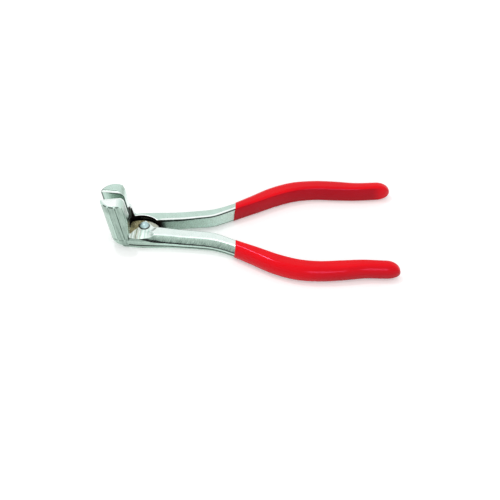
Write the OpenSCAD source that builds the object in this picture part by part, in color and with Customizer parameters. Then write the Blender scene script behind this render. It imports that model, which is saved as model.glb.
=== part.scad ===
// Battery terminal spreader: two bent-jaw arms on one rivet, in millimetres.
// The arms don't cross, so squeezing the handles spreads the jaws.
// The origin is on the rivet's axis in the plane that the tool lies on. The handles
// run along +X, the jaws stand up along +Z, and +Y is the far arm's side.

/* [Jaws] */
// Height of the jaw tips above the resting plane
jaw_h = 32; // [28:0.5:36]
// Radius of each half-round jaw, square to its lean
jaw_r = 8.4; // [7.8:0.1:8.6]
// Forward lean of the jaws in degrees
jaw_lean = 10; // [8:0.5:13]
// Distance from the rivet to the front of the jaw tips
jaw_reach = 24; // [22:0.2:26]
// Distance from the rivet to the upright back of the jaws
jaw_back = 8.4; // [8:0.1:8.8]
// Height at which the back starts to lean like the front
jaw_back_h = 19; // [16:0.5:22]
// Radius from the leaning back round to the tip
jaw_back_r = 4.2; // [3:0.1:5]
// Turn of the back away from square to the jaw's flat, in degrees
jaw_back_turn = 9; // [6:0.5:10]
// Rise of the root behind the far jaw's outer side, over the head
jaw_root_rise = 6.6; // [5.5:0.1:7]
// How far that root reaches behind the jaw at its foot
jaw_root_foot = 1.5; // [1.4:0.1:2]
// Radius of the fillet from that root to the head
jaw_root_r = 0.8; // [0.5:0.1:1.2]
// Radius under the front of the jaw
jaw_toe_r = 6; // [4:0.5:8]
// Gap left between the two jaw flats when they are closed
jaw_gap = 0.4; // [0.2:0.1:0.8]
// Angle that each arm is turned from closed, in degrees
jaw_spread = 8; // [6:0.5:9]
// Bevel round the rim of each jaw's tip
jaw_rim_bevel = 1.1; // [0.4:0.1:1.4]
// Bevel round the foot of each jaw
jaw_foot_bevel = 1.6; // [0.8:0.1:2]
// Bevel along the top edge of each jaw's flat
jaw_flat_bevel = 0.8; // [0.4:0.1:1.2]
// Bevel up the front edge of each jaw's flat
jaw_front_bevel = 0.7; // [0.4:0.1:1]
// Number of grip grooves up each half-round
groove_count = 3; // [2:1:5]
// Angle between neighbouring grip grooves on the half-round
groove_pitch = 28; // [24:1:30]
// Turn of the grooves towards the jaw's front
groove_turn = 6; // [0:1:8]
// Width of a grip groove
groove_w = 0.8; // [0.4:0.1:1.2]
// Depth of a grip groove
groove_depth = 0.45; // [0.2:0.05:0.8]
// Height at which the grip grooves end
groove_floor = 7; // [4:0.5:9]

/* [Lap joint] */
// Thickness of the arms round the rivet
head_t = 10.5; // [10:0.1:11]
// Height of the upper lug's top face
lug_top = 9; // [8.6:0.1:9.4]
// Radius of the half-thickness lugs about the rivet
lug_r = 8.1; // [7.8:0.1:8.4]
// Radius of the flatter arc that trims each lug across the joint
lug_arc_r = 12.7; // [12:0.1:14]
// How far each lug reaches across the middle
lug_reach = 4.6; // [4.4:0.1:5]
// How far the flatter arcs' crowns lie ahead of the rivet
joint_arc_x = 2; // [1.6:0.1:2.4]
// Radius of the wall behind each lug
wall_arc_r = 11.2; // [11:0.1:12]
// How far that wall lies across the middle
wall_reach = 7.1; // [6.8:0.1:7.6]
// Clearance between a lug's rim and its recess
lap_rim_gap = 0.4; // [0.3:0.1:0.6]
// Clearance between the two lugs' faces
lap_face_gap = 0.1; // [0.05:0.05:0.2]
// Degrees that the handles can be squeezed from this pose
squeeze_travel = 12; // [8:1:12]
// Radius of the seat faced round the rivet's head
rivet_seat_r = 5.6; // [4.6:0.1:5.7]
// Run of the slope round the seat for each millimetre of its rise
rivet_seat_run = 1.7; // [1:0.1:1.7]
// Radius of the scoop in the near arm behind its jaw
scoop_r = 21; // [16:1:28]
// Depth of that scoop at the arm's outer side
scoop_depth = 3; // [1:0.1:3.4]
// Tilt of the scoop, down towards the outer side
scoop_tilt = 14; // [10:1:18]

/* [Rivet] */
// Diameter of the rivet's shank
rivet_d = 5; // [4.5:0.1:5.5]
// Radial running clearance in the near arm
rivet_gap = 0.05; // [0.03:0.01:0.1]
// Diameter of the domed head
rivet_head_d = 5.6; // [5.6:0.1:6.6]
// Height of the domed head
rivet_head_h = 1.9; // [1.2:0.1:2.2]
// Largest diameter of the countersunk tail
rivet_tail_d = 7; // [6.2:0.1:8]

/* [Arms] */
// Thickness of the steel handles
arm_t = 9; // [8.4:0.1:9.6]
// Width of the steel handles
arm_w = 6; // [5.6:0.1:6.4]
// Draft of the outer side, from its edges out to the parting line
arm_draft = 0.7; // [0.4:0.1:1.2]
// Edge radius along the arms' inner side
arm_edge_r = 0.7; // [0.4:0.1:1]
// Edge radius along the arms' outer side
arm_outer_r = 1.4; // [1:0.1:1.8]
// Lower inner edge radius of the shanks beside the joint
shank_low_r = 3; // [1:0.1:3.2]
// Distance from the middle to the outer ends of the straight shanks
shank_out = 10.4; // [9.8:0.1:11]
// Distance from the middle to the handles where they are widest apart
handle_out = 35; // [32:0.5:38]

/* [Grips] */
// Distance from the rivet to the edge of the dipped grips
grip_start = 51; // [48:0.5:56]
// Lean of that edge, down towards the joint, in degrees
grip_start_lean = 7; // [0:1:8]
// Distance from the rivet to the ends of the grips
grip_end = 142.6; // [138:0.2:148]
// Thickness over the grips
grip_t = 10.5; // [10:0.1:11]
// Edge radius along the grips' inner side
grip_inner_r = 1.9; // [1.4:0.1:2.2]
// Edge radius along the grips' outer side
grip_outer_r = 3.8; // [3:0.1:4]
// Length of the rounded end of each grip
grip_nose = 8; // [6:0.5:10]
// Solid vinyl beyond the end of the steel
grip_plug = 6; // [5.5:0.1:8]

/* [Hidden] */
$fn = 96;
eps = 0.01;

mid_z = head_t / 2;
lug_under = mid_z + lap_face_gap / 2;
lower_lug_top = mid_z - lap_face_gap / 2;
rivet_r = rivet_d / 2;
rivet_head_r = rivet_head_d / 2;
rivet_tail_r = rivet_tail_d / 2;
rivet_dome_r = (rivet_head_r * rivet_head_r + rivet_head_h * rivet_head_h) / (2 * rivet_head_h);
head_seat = lug_top + rivet_gap;
// Cutting bodies are this large, so that they always reach past the tool.
tall = 2 * jaw_h;
wide = 400;

// The leaning half-round's axis meets the resting plane here.
jaw_axis_x = -jaw_reach + jaw_r / cos(jaw_lean) + jaw_h * tan(jaw_lean);
jaw_front_x = jaw_axis_x - jaw_r / cos(jaw_lean);
jaw_tip_axis_x = jaw_axis_x - jaw_h * tan(jaw_lean);
// The toe's curve touches the resting plane and the leaning front.
toe_x = jaw_front_x + jaw_toe_r / tan(45 + jaw_lean / 2);
front_run_z = jaw_toe_r - jaw_toe_r * sin(jaw_lean);
// The curve at the top of the back touches the leaning back and the tip.
back_arc_z = jaw_h - jaw_back_r;
back_arc_x = -jaw_back - (jaw_back_r + (back_arc_z - jaw_back_h) * sin(jaw_lean)) / cos(jaw_lean);
back_run_z = back_arc_z + jaw_back_r * sin(jaw_lean);
// The root behind the jaw starts this far inside the head, this far inside the jaw's round and
// this deep in its back, and its top slopes by this angle.
root_sink = 0.5;
root_out = jaw_r - root_sink;
root_in = wall_reach / 2;
root_depth = 1.8;
root_top_slope = 30;
root_steps = 8;

// One arm's course in plan, from the head past the end of the steel, as
// [distance from the rivet, offset to the side, steel width, steel thickness, grip width].
steel_end = grip_end - grip_plug;
row_gap = 12;
last_x = steel_end + 9.4;
function bow(share) = shank_out + share * (handle_out - shank_out);
course = [
    [-12, 5.8, 6.8, head_t, arm_w],
    [-4, 6.25, 7.9, head_t, arm_w],
    [6, 6.75, 8.1, head_t, arm_w],
    [14, 7.3, 7.7, 9.8, arm_w],
    [22, 8.2, 7.7, arm_t, 9.2],
    [30, 9.15, 7.5, arm_t, 9],
    [38, shank_out, 7.3, arm_t, 8.8],
    [45, bow(0.114), 6.4, arm_t, 8],
    [52, bow(0.26), arm_w, arm_t, 7.6],
    [62, bow(0.484), 6.4, arm_t, 8.7],
    [74, bow(0.76), 7, arm_t, 9.9],
    [86, bow(0.943), 7.4, arm_t, 10.1],
    [98, handle_out, 7.2, arm_t, 9.7],
    [110, bow(0.976), 7.2, arm_t, 9.6],
    [last_x - 2 * row_gap, bow(0.939), 6.6, arm_t, 8.6],
    [last_x - row_gap, bow(0.96), arm_w, arm_t, 8.1],
    [last_x, bow(0.984), arm_w, arm_t, 8]
];
grip_first_ring = 44;
scoop_edge_y = course[1][1] + course[1][2] / 2;
// How finely the bars are drawn: rings along them and chords round their edges.
steel_steps = 42;
grip_steps = 26;
edge_steps = 4;
grip_edge_steps = 5;
// The grips' noses end a little short of a point, at this turn of their quarter round.
nose_rings = 6;
nose_turn = 84;
// The drafted and crowned sides leave the edge arcs at these angles.
steel_side_turn = 12;
grip_side_turn = 10;
grip_crown = 0.35;
// The shanks' lower inner edge is rounded most beside the joint and sharpens towards the grips.
low_round_from = 6;
low_round_full = 14;
low_round_to = 20;
low_sharp_x = 50;
function low_r(x) =
    let (rise = (x - low_round_from) / (low_round_full - low_round_from),
        fall = (low_sharp_x - x) / (low_sharp_x - low_round_to))
    arm_edge_r + (shank_low_r - arm_edge_r) * max(0, min(1, rise, fall));

// Smooth curve through the rows of a table, at row number s.
heading_step = 0.05;
halvings = 24;
function row(t, i) = t[max(0, min(len(t) - 1, i))];
function blend(a, b, c, d, u) =
    0.5 * (2 * b + (c - a) * u + (2 * a - 5 * b + 4 * c - d) * u * u
        + (3 * b - a - 3 * c + d) * u * u * u);
function along(t, s) =
    let (i = min(len(t) - 2, floor(s)))
    blend(row(t, i - 1), row(t, i), row(t, i + 1), row(t, i + 2), s - i);
function heading(t, s) =
    let (a = along(t, s - heading_step), b = along(t, s + heading_step))
    atan2(b[1] - a[1], b[0] - a[0]);
// Row number at which the course reaches a distance x from the rivet, by halving.
function row_at(t, x, lo, hi, n = halvings) =
    n == 0 ? (lo + hi) / 2
    : let (m = (lo + hi) / 2)
      along(t, m)[0] < x ? row_at(t, x, m, hi, n - 1) : row_at(t, x, lo, m, n - 1);

function arc_points(cx, cy, r, a0, a1, n) =
    [for (i = [0:n]) let (a = a0 + (a1 - a0) * i / n) [cx + r * cos(a), cy + r * sin(a)]];
function flip_z(pts) = [for (i = [len(pts) - 1:-1:0]) [pts[i][0], -pts[i][1]]];

// Steel section, [out from the middle, up]: flat inside, drafted to a parting line outside.
function steel_section(w, t, low) =
    let (out = w / 2 - arm_draft - arm_outer_r, up = t / 2 - arm_outer_r)
    concat(
        [[w / 2, 0]],
        arc_points(out, up, arm_outer_r, steel_side_turn, 90, edge_steps),
        arc_points(arm_edge_r - w / 2, t / 2 - arm_edge_r, arm_edge_r, 90, 180, edge_steps),
        arc_points(low - w / 2, low - t / 2, low, 180, 270, edge_steps),
        arc_points(out, -up, arm_outer_r, 270, 360 - steel_side_turn, edge_steps));

// Grip section: a little crowned on both sides, and rounded more along the outer one.
function grip_half(w, t) =
    let (out = w / 2 - grip_crown - grip_outer_r, inn = grip_crown + grip_inner_r - w / 2)
    concat(
        [[w / 2, 0]],
        arc_points(out, t / 2 - grip_outer_r, grip_outer_r, grip_side_turn, 90, grip_edge_steps),
        arc_points(inn, t / 2 - grip_inner_r, grip_inner_r, 90, 180 - grip_side_turn, grip_edge_steps),
        [[-w / 2, 0]]);
function grip_section(w, t) =
    let (half = grip_half(w, t), lower = flip_z(half))
    concat(half, [for (i = [1:len(lower) - 2]) lower[i]]);

// A ring is a section set square to the course.
function ring(section, s) =
    let (c = along(course, s), a = heading(course, s))
    [for (p = section) [c[0] - p[0] * sin(a), c[1] + p[0] * cos(a), mid_z + p[1]]];
function shrunk(section, k) = [for (p = section) p * k];

module loft(rings) {
    n = len(rings[0]);
    m = len(rings);
    sides = [for (j = [0:m - 2]) for (i = [0:n - 1])
        let (k = (i + 1) % n)
        each [[j * n + i, (j + 1) * n + i, (j + 1) * n + k], [j * n + i, (j + 1) * n + k, j * n + k]]];
    first_cap = [for (i = [0:n - 1]) i];
    last_cap = [for (i = [n - 1:-1:0]) (m - 1) * n + i];
    polyhedron(points = [for (r = rings) each r], faces = concat(sides, [first_cap], [last_cap]));
}

function stations(s0, s1, count) = [for (i = [0:count]) s0 + (s1 - s0) * i / count];
last_row = len(course) - 1;
steel_last = row_at(course, steel_end, 0, last_row);
module steel_bar() {
    // The smooth curve may not rise over the head.
    loft([for (s = stations(0, steel_last, steel_steps))
        let (c = along(course, s))
        ring(steel_section(c[2], min(c[3], head_t), low_r(c[0])), s)]);
}

grip_s0 = row_at(course, grip_first_ring, 0, last_row);
grip_s1 = row_at(course, grip_end - grip_nose, 0, last_row);
grip_s2 = row_at(course, grip_end, 0, last_row);
module grip_bar() {
    body = [for (s = stations(grip_s0, grip_s1, grip_steps)) [s, 1]];
    nose = [for (i = [1:nose_rings])
        let (a = nose_turn * i / nose_rings)
        [grip_s1 + (grip_s2 - grip_s1) * sin(a) / sin(nose_turn), cos(a)]];
    loft([for (q = concat(body, nose))
        let (c = along(course, q[0]))
        ring(shrunk(grip_section(c[4], grip_t), q[1]), q[0])]);
}

// Half-round section: its flat lies beside the x axis and its round faces +y.
module jaw_section() {
    difference() {
        circle(r = jaw_r);
        translate([-2 * jaw_r, -2 * jaw_r + jaw_gap / 2])
            square([4 * jaw_r, 2 * jaw_r]);
        translate([-jaw_r, jaw_gap / 2])
            rotate([0, 0, 45])
                square(jaw_front_bevel * sqrt(2), center = true);
    }
}
module groove_lines() {
    for (k = [0:groove_count - 1])
        rotate([0, 0, 90 + groove_turn + (k - (groove_count - 1) / 2) * groove_pitch])
            translate([jaw_r - groove_depth, -groove_w / 2, 0])
                cube([2 * groove_depth, groove_w, tall]);
}
// Side views of the jaw, x along the arm and y up: its front and toe, then its back.
module jaw_front_profile() {
    difference() {
        translate([-2 * jaw_reach, 0])
            square([2 * jaw_reach, jaw_h]);
        difference() {
            translate([-2 * jaw_reach, -eps])
                square([2 * jaw_reach + toe_x, front_run_z + eps]);
            translate([toe_x, jaw_toe_r])
                circle(r = jaw_toe_r);
        }
    }
}
module jaw_back_profile() {
    intersection() {
        translate([-2 * jaw_reach, 0])
            square([2 * jaw_reach - jaw_back, jaw_h]);
        translate([-jaw_back, jaw_back_h])
            rotate([0, 0, jaw_lean])
                translate([-2 * tall, -tall])
                    square([2 * tall, 2 * tall]);
        union() {
            translate([-2 * jaw_reach, 0])
                square([2 * jaw_reach, back_run_z]);
            translate([-2 * jaw_reach, 0])
                square([2 * jaw_reach + back_arc_x, jaw_h]);
            translate([back_arc_x, back_arc_z])
                circle(r = jaw_back_r);
        }
    }
}
// Turns a jaw's back about the upright edge where it meets the flat.
module back_turned() {
    translate([-jaw_back, 0, 0])
        rotate([0, 0, jaw_back_turn])
            translate([jaw_back, 0, 0])
                children();
}
// Plan of the far arm's side of the plane of its jaw's back, towards the handles.
module behind_jaw() {
    rotate([0, 0, -jaw_spread])
        back_turned()
            translate([-jaw_back, -tall])
                square([tall, 2 * tall]);
}
// Bevels of the jaw: round its rim, round its foot and along the flat's top edge.
module jaw_bevels() {
    intersection() {
        translate([jaw_tip_axis_x, 0, jaw_h - wide])
            cylinder(r1 = jaw_r - jaw_rim_bevel + wide, r2 = jaw_r - jaw_rim_bevel, h = wide);
        translate([jaw_axis_x, 0, 0])
            cylinder(r1 = jaw_r - jaw_foot_bevel, r2 = jaw_r - jaw_foot_bevel + wide, h = wide);
        translate([0, jaw_gap / 2, jaw_h - jaw_flat_bevel])
            rotate([45, 0, 0])
                translate([-wide / 2, -wide / 2, -wide])
                    cube(wide);
    }
}
// Root behind a jaw's back, leaning like the jaw; the recess and the scoop trim it.
module jaw_root() {
    top_x = jaw_root_foot - jaw_root_rise * tan(jaw_lean);
    foot_x = jaw_root_foot + jaw_root_r;
    rotate([0, 0, -jaw_spread])
        translate([-jaw_back, root_out, head_t])
            rotate([90, 0, 0])
                linear_extrude(root_out - root_in)
                    polygon(concat(
                        [[-root_depth, -root_sink], [foot_x, -root_sink]],
                        arc_points(foot_x, jaw_root_r, jaw_root_r, 270, 180, root_steps),
                        [[top_x, jaw_root_rise],
                         [-root_depth, jaw_root_rise + (top_x + root_depth) * tan(root_top_slope)]]));
}
// One jaw of the far arm, at rest.
module jaw() {
    rotate([0, 0, -jaw_spread])
        intersection() {
            rotate([90, 0, 0])
                linear_extrude(tall, center = true)
                    jaw_front_profile();
            back_turned()
                rotate([90, 0, 0])
                    linear_extrude(tall, center = true)
                        jaw_back_profile();
            translate([jaw_axis_x, 0, 0])
                rotate([0, -jaw_lean, 0])
                    difference() {
                        translate([0, 0, -tall / 2])
                            linear_extrude(2 * tall)
                                jaw_section();
                        translate([0, 0, groove_floor])
                            groove_lines();
                    }
            jaw_bevels();
        }
}

// Plan of a lug: a disc about the rivet, trimmed by a flatter arc across the middle.
module lug_plan() {
    intersection() {
        circle(r = lug_r);
        translate([-joint_arc_x, lug_arc_r - lug_reach])
            circle(r = lug_arc_r);
    }
}
// Plan of the recess for the other arm's lug, open to the jaw's back, with room for its corner to swing.
module recess_plan() {
    intersection() {
        behind_jaw();
        union() {
            circle(r = lug_r + lap_rim_gap);
            translate([-tall, -tall])
                square([tall, 2 * tall]);
        }
        union() {
            translate([-joint_arc_x, wall_reach - wall_arc_r])
                circle(r = wall_arc_r);
            rotate([0, 0, squeeze_travel])
                translate([0, -tall])
                    square([tall, tall]);
        }
    }
}

// The far arm before its joint is cut: jaw, root, head and bar in one forging.
module arm_forging() {
    jaw();
    jaw_root();
    steel_bar();
}

module far_arm() {
    color("lightgray")
        difference() {
            union() {
                difference() {
                    arm_forging();
                    translate([0, 0, lower_lug_top])
                        linear_extrude(tall)
                            recess_plan();
                }
                linear_extrude(lower_lug_top)
                    lug_plan();
            }
            translate([0, 0, -eps])
                cylinder(r = rivet_r, h = head_t);
            tail_cone();
        }
}

// Shallow scoop behind the near arm's jaw, drawn on the far side and mirrored with the arm.
module scoop() {
    intersection() {
        translate([-jaw_back / 2, scoop_edge_y, head_t - scoop_depth])
            rotate([-90 - scoop_tilt, 0, 0])
                translate([0, -scoop_r, 0])
                    cylinder(r = scoop_r, h = tall, center = true);
        linear_extrude(tall)
            behind_jaw();
    }
}

// Facing round the rivet's head, sloping up to the head of the arm.
module seat() {
    rise = head_t - lug_top + eps;
    translate([0, 0, lug_top])
        cylinder(r1 = rivet_seat_r, r2 = rivet_seat_r + rise * rivet_seat_run, h = rise);
}

module near_arm() {
    color("silver")
        mirror([0, 1, 0])
            difference() {
                union() {
                    difference() {
                        arm_forging();
                        translate([0, 0, lug_under - head_t])
                            linear_extrude(head_t)
                                recess_plan();
                        seat();
                    }
                    translate([0, 0, lug_under])
                        linear_extrude(lug_top - lug_under)
                            lug_plan();
                }
                scoop();
                translate([0, 0, -eps])
                    cylinder(r = rivet_r + rivet_gap, h = head_t);
            }
}

// The countersunk tail, flush with the resting plane.
module tail_cone() {
    cylinder(r1 = rivet_tail_r, r2 = rivet_r, h = rivet_tail_r - rivet_r);
}

module pivot_rivet() {
    color("gainsboro") {
        tail_cone();
        cylinder(r = rivet_r, h = head_seat + eps);
        translate([0, 0, head_seat])
            intersection() {
                translate([0, 0, rivet_head_h - rivet_dome_r])
                    sphere(r = rivet_dome_r);
                cylinder(r = rivet_head_r, h = rivet_head_h);
            }
    }
}

module grip_shell() {
    difference() {
        intersection() {
            grip_bar();
            translate([grip_start, 0, mid_z])
                rotate([0, grip_start_lean, 0])
                    translate([0, -wide / 2, -wide / 2])
                        cube(wide);
        }
        steel_bar();
    }
}

module far_grip() {
    color("firebrick")
        grip_shell();
}

module near_grip() {
    color("red")
        mirror([0, 1, 0])
            grip_shell();
}

near_arm();
far_arm();
pivot_rivet();
near_grip();
far_grip();
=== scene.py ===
import bmesh
import bpy
import numpy as np
from mathutils import Matrix, Vector, noise

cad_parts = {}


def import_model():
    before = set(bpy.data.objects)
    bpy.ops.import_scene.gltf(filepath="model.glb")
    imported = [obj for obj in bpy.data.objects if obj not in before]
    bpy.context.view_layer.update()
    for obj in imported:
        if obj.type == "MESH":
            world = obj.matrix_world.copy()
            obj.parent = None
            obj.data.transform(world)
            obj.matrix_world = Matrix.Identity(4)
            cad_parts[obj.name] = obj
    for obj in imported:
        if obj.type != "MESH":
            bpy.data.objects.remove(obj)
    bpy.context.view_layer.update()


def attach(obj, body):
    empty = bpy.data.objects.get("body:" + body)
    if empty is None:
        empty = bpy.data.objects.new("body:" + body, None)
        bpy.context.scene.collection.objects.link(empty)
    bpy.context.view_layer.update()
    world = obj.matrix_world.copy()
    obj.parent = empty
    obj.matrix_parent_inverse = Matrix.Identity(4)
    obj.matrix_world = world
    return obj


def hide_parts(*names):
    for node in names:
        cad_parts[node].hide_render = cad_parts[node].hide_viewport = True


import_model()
scene = bpy.context.scene
MM = 0.001

# Sizes, as in part.scad
JAW_H, JAW_R, JAW_LEAN, JAW_REACH = 32.0, 8.4, 10.0, 24.0
JAW_BACK, JAW_BACK_H, JAW_BACK_R, JAW_BACK_TURN = 8.4, 19.0, 4.2, 9.0
JAW_ROOT_RISE, JAW_ROOT_FOOT, JAW_ROOT_R, JAW_TOE_R = 6.6, 1.5, 0.8, 6.0
ROOT_SINK, ROOT_DEPTH, ROOT_TOP_SLOPE = 0.5, 1.8, 30.0
JAW_GAP, JAW_SPREAD = 0.4, 8.0
RIM_BEVEL, FLAT_BEVEL, FRONT_BEVEL = 1.1, 0.8, 0.7
GROOVES, GROOVE_PITCH, GROOVE_TURN = 3, 28.0, 6.0
GROOVE_W, GROOVE_DEPTH, GROOVE_FLOOR = 0.8, 0.45, 7.0
HEAD_T, LUG_TOP, LUG_R, LUG_ARC_R, LUG_REACH = 10.5, 9.0, 8.1, 12.7, 4.6
JOINT_ARC_X, WALL_ARC_R, WALL_REACH = 2.0, 11.2, 7.1
LAP_RIM_GAP, LAP_FACE_GAP, SQUEEZE = 0.4, 0.1, 12.0
SEAT_R, SEAT_RUN, SCOOP_R, SCOOP_DEPTH, SCOOP_TILT = 5.6, 1.7, 21.0, 3.0, 14.0
RIVET_R, RIVET_GAP, RIVET_HEAD_R, RIVET_HEAD_H, RIVET_TAIL_R = 2.5, 0.05, 2.8, 1.9, 3.5
ARM_T, ARM_W, ARM_DRAFT, ARM_EDGE_R, ARM_OUTER_R, SHANK_LOW_R = 9.0, 6.0, 0.7, 0.7, 1.4, 3.0
SHANK_OUT, HANDLE_OUT = 10.4, 35.0
GRIP_START, GRIP_START_LEAN, GRIP_END, GRIP_T = 51.0, 7.0, 142.6, 10.5
GRIP_INNER_R, GRIP_OUTER_R = 1.9, 3.8
GRIP_NOSE, GRIP_PLUG, GRIP_CROWN = 8.0, 6.0, 0.35
MID_Z = HEAD_T / 2
LUG_UNDER = MID_Z + LAP_FACE_GAP / 2
LOWER_LUG_TOP = MID_Z - LAP_FACE_GAP / 2
LEAN = np.radians(JAW_LEAN)
JAW_AXIS_X = -JAW_REACH + JAW_R / np.cos(LEAN) + JAW_H * np.tan(LEAN)
JAW_TIP_AXIS_X = JAW_AXIS_X - JAW_H * np.tan(LEAN)
TOE_X = JAW_AXIS_X - JAW_R / np.cos(LEAN) + JAW_TOE_R / np.tan(np.radians(45 + JAW_LEAN / 2))
BACK_ARC_Z = JAW_H - JAW_BACK_R
BACK_ARC_X = -JAW_BACK - (JAW_BACK_R + (BACK_ARC_Z - JAW_BACK_H) * np.sin(LEAN)) / np.cos(LEAN)
ROOT_OUT, ROOT_IN = JAW_R - ROOT_SINK, WALL_REACH / 2
LOW_ROUND_FROM, LOW_ROUND_FULL, LOW_ROUND_TO, LOW_SHARP_X = 6.0, 14.0, 20.0, 50.0
STEEL_END = GRIP_END - GRIP_PLUG
PAST_STEEL, ROW_GAP = 9.4, 12.0
LAST_X = STEEL_END + PAST_STEEL
# A size beyond every part of the tool, and one too small to matter
BIG, EPS = 60.0, 0.01

# Looks only: the shallow hollow round the rivet's head, the hand-rounded heel of each jaw and
# how far the dipped noses droop. The CAD's own heel bevel is 1.6.
SINK_R, SINK_DEPTH, FOOT_BEVEL, NOSE_DROOP = 3.2, 0.5, 2.7, 1.4
# The lip of each grip, its bore's play round the steel, and how far its nose turns in, in degrees
LIP_R, BORE_GAP, NOSE_TURN = 0.45, 0.02, 84.0
# The lower line of the belt-ground flank: distances from the rivet, and heights over the middle
FLANK_LINE_X = [-8, -4, 1, 4, 8.5, 14, 26, 38, 48]
FLANK_LINE_UP = [2.9, 2.6, 1.4, 0.6, 0.15, -0.1, -0.3, -0.55, -0.4]
# The back of each jaw: depths below the tip, and the lightness painted there as its shading
NEAR_BACK_TONES = ([0.05, 0.5, 1.6, 3.5, 6, 10, 15], [0.84, 0.68, 0.54, 0.44, 0.32, 0.34, 0.48])
FAR_BACK_TONES = ([0.2, 1.6, 4, 8], [0.60, 0.42, 0.66, 0.90])
# The painted black shade on the far jaw's back: its height at the flat, and its fall across the back
SCALE_TOP, SCALE_FALL = 21.5, 0.75
# The brown streaks down the scoop: place along x, half width and strength
SCOOP_STREAKS = [(-6.6, 0.4, 0.3), (-4.9, 0.3, 0.4), (-3.9, 0.5, 0.7), (-2.9, 0.3, 0.4),
                 (-1.6, 0.4, 0.4)]
# One small pit on the far arm's top
PIT_X, PIT_Y = 14.6, 9.8

# How many rings each skin has, and how many points go round the rivet
BAR_RINGS, BORE_RINGS, LIP_RINGS, GRIP_RINGS, NOSE_RINGS, RIVET_POINTS = 300, 40, 6, 170, 16, 128
# The search for the leaning edge of a grip: rows to either side, and halvings
EDGE_ROWS, HALVINGS = 1.2, 22
HEADING_STEP = 0.05


def bow(share):
    return SHANK_OUT + share * (HANDLE_OUT - SHANK_OUT)


# The arms' course: distance from the rivet, offset to the side, steel width and thickness, grip width.
COURSE = np.array([
    [-12, 5.8, 6.8, HEAD_T, ARM_W],
    [-4, 6.25, 7.9, HEAD_T, ARM_W],
    [6, 6.75, 8.1, HEAD_T, ARM_W],
    [14, 7.3, 7.7, 9.8, ARM_W],
    [22, 8.2, 7.7, ARM_T, 9.2],
    [30, 9.15, 7.5, ARM_T, 9],
    [38, SHANK_OUT, 7.3, ARM_T, 8.8],
    [45, bow(0.114), 6.4, ARM_T, 8],
    [52, bow(0.26), ARM_W, ARM_T, 7.6],
    [62, bow(0.484), 6.4, ARM_T, 8.7],
    [74, bow(0.76), 7, ARM_T, 9.9],
    [86, bow(0.943), 7.4, ARM_T, 10.1],
    [98, HANDLE_OUT, 7.2, ARM_T, 9.7],
    [110, bow(0.976), 7.2, ARM_T, 9.6],
    [LAST_X - 2 * ROW_GAP, bow(0.939), 6.6, ARM_T, 8.6],
    [LAST_X - ROW_GAP, bow(0.96), ARM_W, ARM_T, 8.1],
    [LAST_X, bow(0.984), ARM_W, ARM_T, 8],
])
LAST = len(COURSE) - 1


def along(s):
    """The course's five values at each row number in s, by the smooth curve that part.scad uses."""
    s = np.atleast_1d(np.asarray(s, float))
    i = np.minimum(LAST - 1, np.floor(s)).astype(int)
    u = (s - i)[:, None]
    a, b, c, d = (COURSE[np.clip(i + k, 0, LAST)] for k in (-1, 0, 1, 2))
    return 0.5 * (2 * b + (c - a) * u + (2 * a - 5 * b + 4 * c - d) * u**2
                  + (3 * b - a - 3 * c + d) * u**3)


def heading(s):
    d = along(np.asarray(s) + HEADING_STEP) - along(np.asarray(s) - HEADING_STEP)
    return np.arctan2(d[:, 1], d[:, 0])


TABLE_S = np.linspace(0, LAST, 3201)
TABLE_ROWS = along(TABLE_S)
TABLE_ARC = np.concatenate([[0], np.cumsum(np.hypot(*np.diff(TABLE_ROWS[:, :2], axis=0).T))])


def row_at(x):
    return np.interp(x, TABLE_ROWS[:, 0], TABLE_S)


STEEL_LAST = float(row_at(STEEL_END))


# Mesh helpers
def shape(points, faces):
    """A closed scratch solid, in millimetres, with its faces turned outwards."""
    mesh = bpy.data.meshes.new("shape")
    mesh.from_pydata(np.asarray(points, float).tolist(), [], [list(map(int, f)) for f in faces])
    bm = bmesh.new()
    bm.from_mesh(mesh)
    bmesh.ops.recalc_face_normals(bm, faces=bm.faces)
    bm.to_mesh(mesh)
    bm.free()
    obj = bpy.data.objects.new("shape", mesh)
    scene.collection.objects.link(obj)
    return obj


def moved(obj, *steps):
    """Applies the steps to the mesh, the first one first."""
    for m in steps:
        obj.data.transform(m)
    return obj


def turn(degrees, axis):
    return Matrix.Rotation(np.radians(degrees), 4, axis)


def shift(x=0.0, y=0.0, z=0.0):
    return Matrix.Translation((x, y, z))


def settle(obj):
    """Makes what the modifiers show the mesh itself."""
    scene.view_layers[0].update()
    graph = bpy.context.evaluated_depsgraph_get()
    mesh = bpy.data.meshes.new_from_object(obj.evaluated_get(graph))
    obj.modifiers.clear()
    old = obj.data
    obj.data = mesh
    bpy.data.meshes.remove(old)
    return obj


def combine(a, b, how):
    m = a.modifiers.new("combine", "BOOLEAN")
    m.operation = how
    m.solver = "MANIFOLD"
    m.object = b
    settle(a)
    bpy.data.objects.remove(b)
    return a


def lofted(rings):
    """A closed skin through rings of equal length."""
    rings = np.asarray(rings, float)
    m, n = rings.shape[:2]
    k = np.arange(n)
    faces = []
    for j in range(m - 1):
        a, b = j * n + k, j * n + np.roll(k, -1)
        faces.extend(np.stack([a, b, b + n, a + n], 1).tolist())
    faces.append(list(k[::-1]))
    faces.append(list((m - 1) * n + k))
    return shape(rings.reshape(-1, 3), faces)


def prism(outline, lo, hi):
    outline = np.asarray(outline, float)
    low = np.column_stack([outline, np.full(len(outline), lo)])
    high = np.column_stack([outline, np.full(len(outline), hi)])
    return lofted([low, high])


def arc(cx, cy, r, a0, a1, n):
    a = np.radians(np.linspace(a0, a1, n + 1))
    return np.stack([cx + r * np.cos(a), cy + r * np.sin(a)], 1)


def cone(r_low, r_high, lo, hi, cx=0.0, cy=0.0, n=256):
    ring = arc(0, 0, 1, 0, 360, n)[:-1]
    low = np.column_stack([ring * r_low + [cx, cy], np.full(n, lo)])
    high = np.column_stack([ring * r_high + [cx, cy], np.full(n, hi)])
    return lofted([low, high])


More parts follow.
